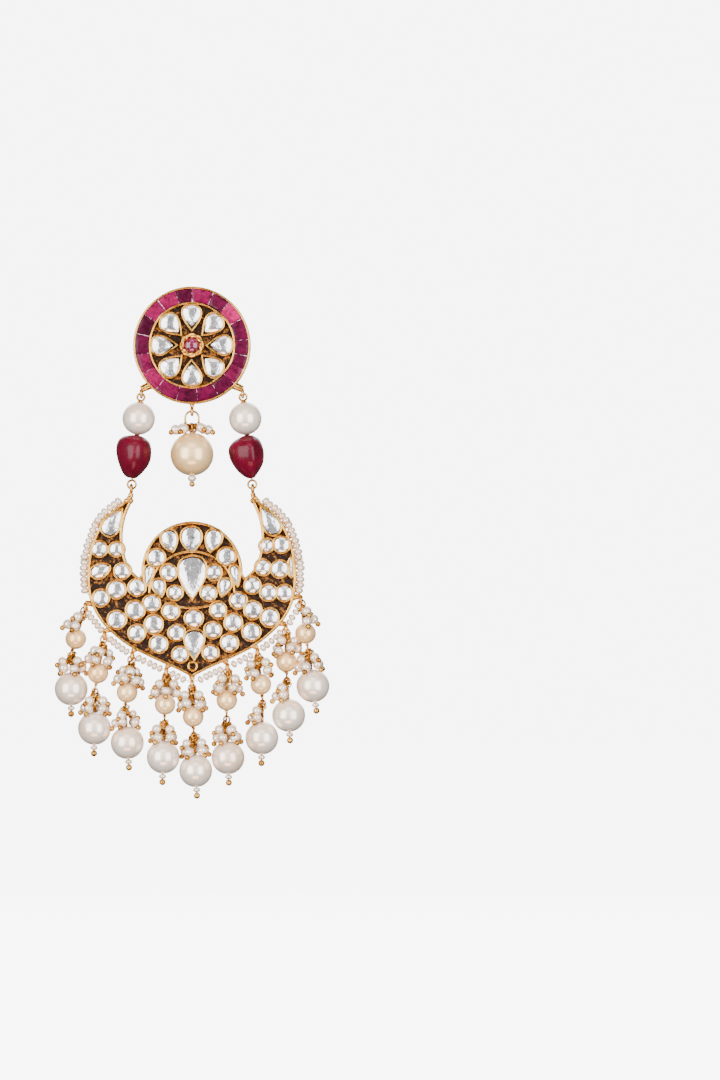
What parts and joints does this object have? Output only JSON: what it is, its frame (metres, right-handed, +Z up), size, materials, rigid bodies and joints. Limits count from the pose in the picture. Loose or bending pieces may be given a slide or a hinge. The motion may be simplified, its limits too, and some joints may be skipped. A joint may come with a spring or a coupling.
{
  "type": "chandbali earring",
  "caption": "Long drop earring: a jewelled stud disc, two beaded links, a centre pearl drop and a stone-set crescent with a fringe of pearl strands.",
  "frame": {"origin": "middle of the stud disc's back face, where it sits against the ear lobe", "axes": "+Z up along the hanging earring, -Y towards the viewer, +Y into the ear lobe along the post"},
  "size_m": [0.0656, 0.0177, 0.1222],
  "materials": {
    "gold": "polished yellow gold plate",
    "gold_wire": "polished gold wire",
    "ruby": "deep magenta red, polished",
    "kundan": "clear stone over silver foil",
    "red_bead": "dark red, very glossy",
    "pearl": "white pearl lustre",
    "cream_pearl": "cream pearl lustre",
    "seed_pearl": "white seed pearl lustre"
  },
  "bodies": {
    "stud": {"stud_disc": "gold", "ruby_band": "ruby", "centre_ruby": "ruby", "ear_post": "gold", "petal_stone_1": "kundan", "petal_stone_2": "kundan", "petal_stone_3": "kundan", "petal_stone_4": "kundan", "petal_stone_5": "kundan", "petal_stone_6": "kundan", "petal_stone_7": "kundan", "petal_stone_8": "kundan"},
    "links": {"link_wire_left": "gold_wire", "link_wire_right": "gold_wire", "link_pearl_left": "pearl", "link_pearl_right": "pearl", "red_bead_left": "red_bead", "red_bead_right": "red_bead"},
    "drop": {"drop_ring": "gold_wire", "drop_pin": "gold_wire", "drop_pearl": "cream_pearl", "drop_seed": "seed_pearl", "drop_cluster": "seed_pearl"},
    "pendant": {"crescent_frame": "gold", "crescent_round_stones": "kundan", "crescent_shaped_stones": "kundan", "horn_seeds_left": "seed_pearl", "horn_seeds_right": "seed_pearl", "edge_seeds_left": "seed_pearl", "edge_seeds_right": "seed_pearl", "cap_pearl_1": "cream_pearl", "cap_pearl_2": "cream_pearl", "cap_pearl_3": "cream_pearl", "cap_pearl_4": "cream_pearl", "cap_pearl_5": "cream_pearl", "cap_pearl_6": "cream_pearl", "cap_pearl_7": "cream_pearl", "cap_pearl_8": "cream_pearl", "cap_pearl_9": "cream_pearl", "fringe_pearl_1": "pearl", "fringe_pearl_2": "pearl", "fringe_pearl_3": "pearl", "fringe_pearl_4": "pearl", "fringe_pearl_5": "pearl", "fringe_pearl_6": "pearl", "fringe_pearl_7": "pearl", "fringe_pearl_8": "pearl", "fringe_pearl_9": "pearl", "fringe_wire_1": "gold_wire", "fringe_wire_2": "gold_wire", "fringe_wire_3": "gold_wire", "fringe_wire_4": "gold_wire", "fringe_wire_5": "gold_wire", "fringe_wire_6": "gold_wire", "fringe_wire_7": "gold_wire", "fringe_wire_8": "gold_wire", "fringe_wire_9": "gold_wire", "upper_clusters": "seed_pearl", "lower_clusters": "seed_pearl", "tip_seeds": "seed_pearl"}
  },
  "joints": [
    {"name": "drop_swing", "type": "hinge", "parent": "stud", "child": "drop", "pos_m": [0, -0.0016, -0.0157], "axis": [1, 0, 0], "range_deg": [-40, 40]},
    {"name": "link_swing", "type": "hinge", "parent": "stud", "child": "links", "pos_m": [0, -0.0016, -0.0115], "axis": [1, 0, 0], "range_deg": [-35, 35]},
    {"name": "pendant_swing", "type": "hinge", "parent": "links", "child": "pendant", "pos_m": [0, -0.0016, -0.03421], "axis": [1, 0, 0], "range_deg": [-35, 35]}
  ]
}
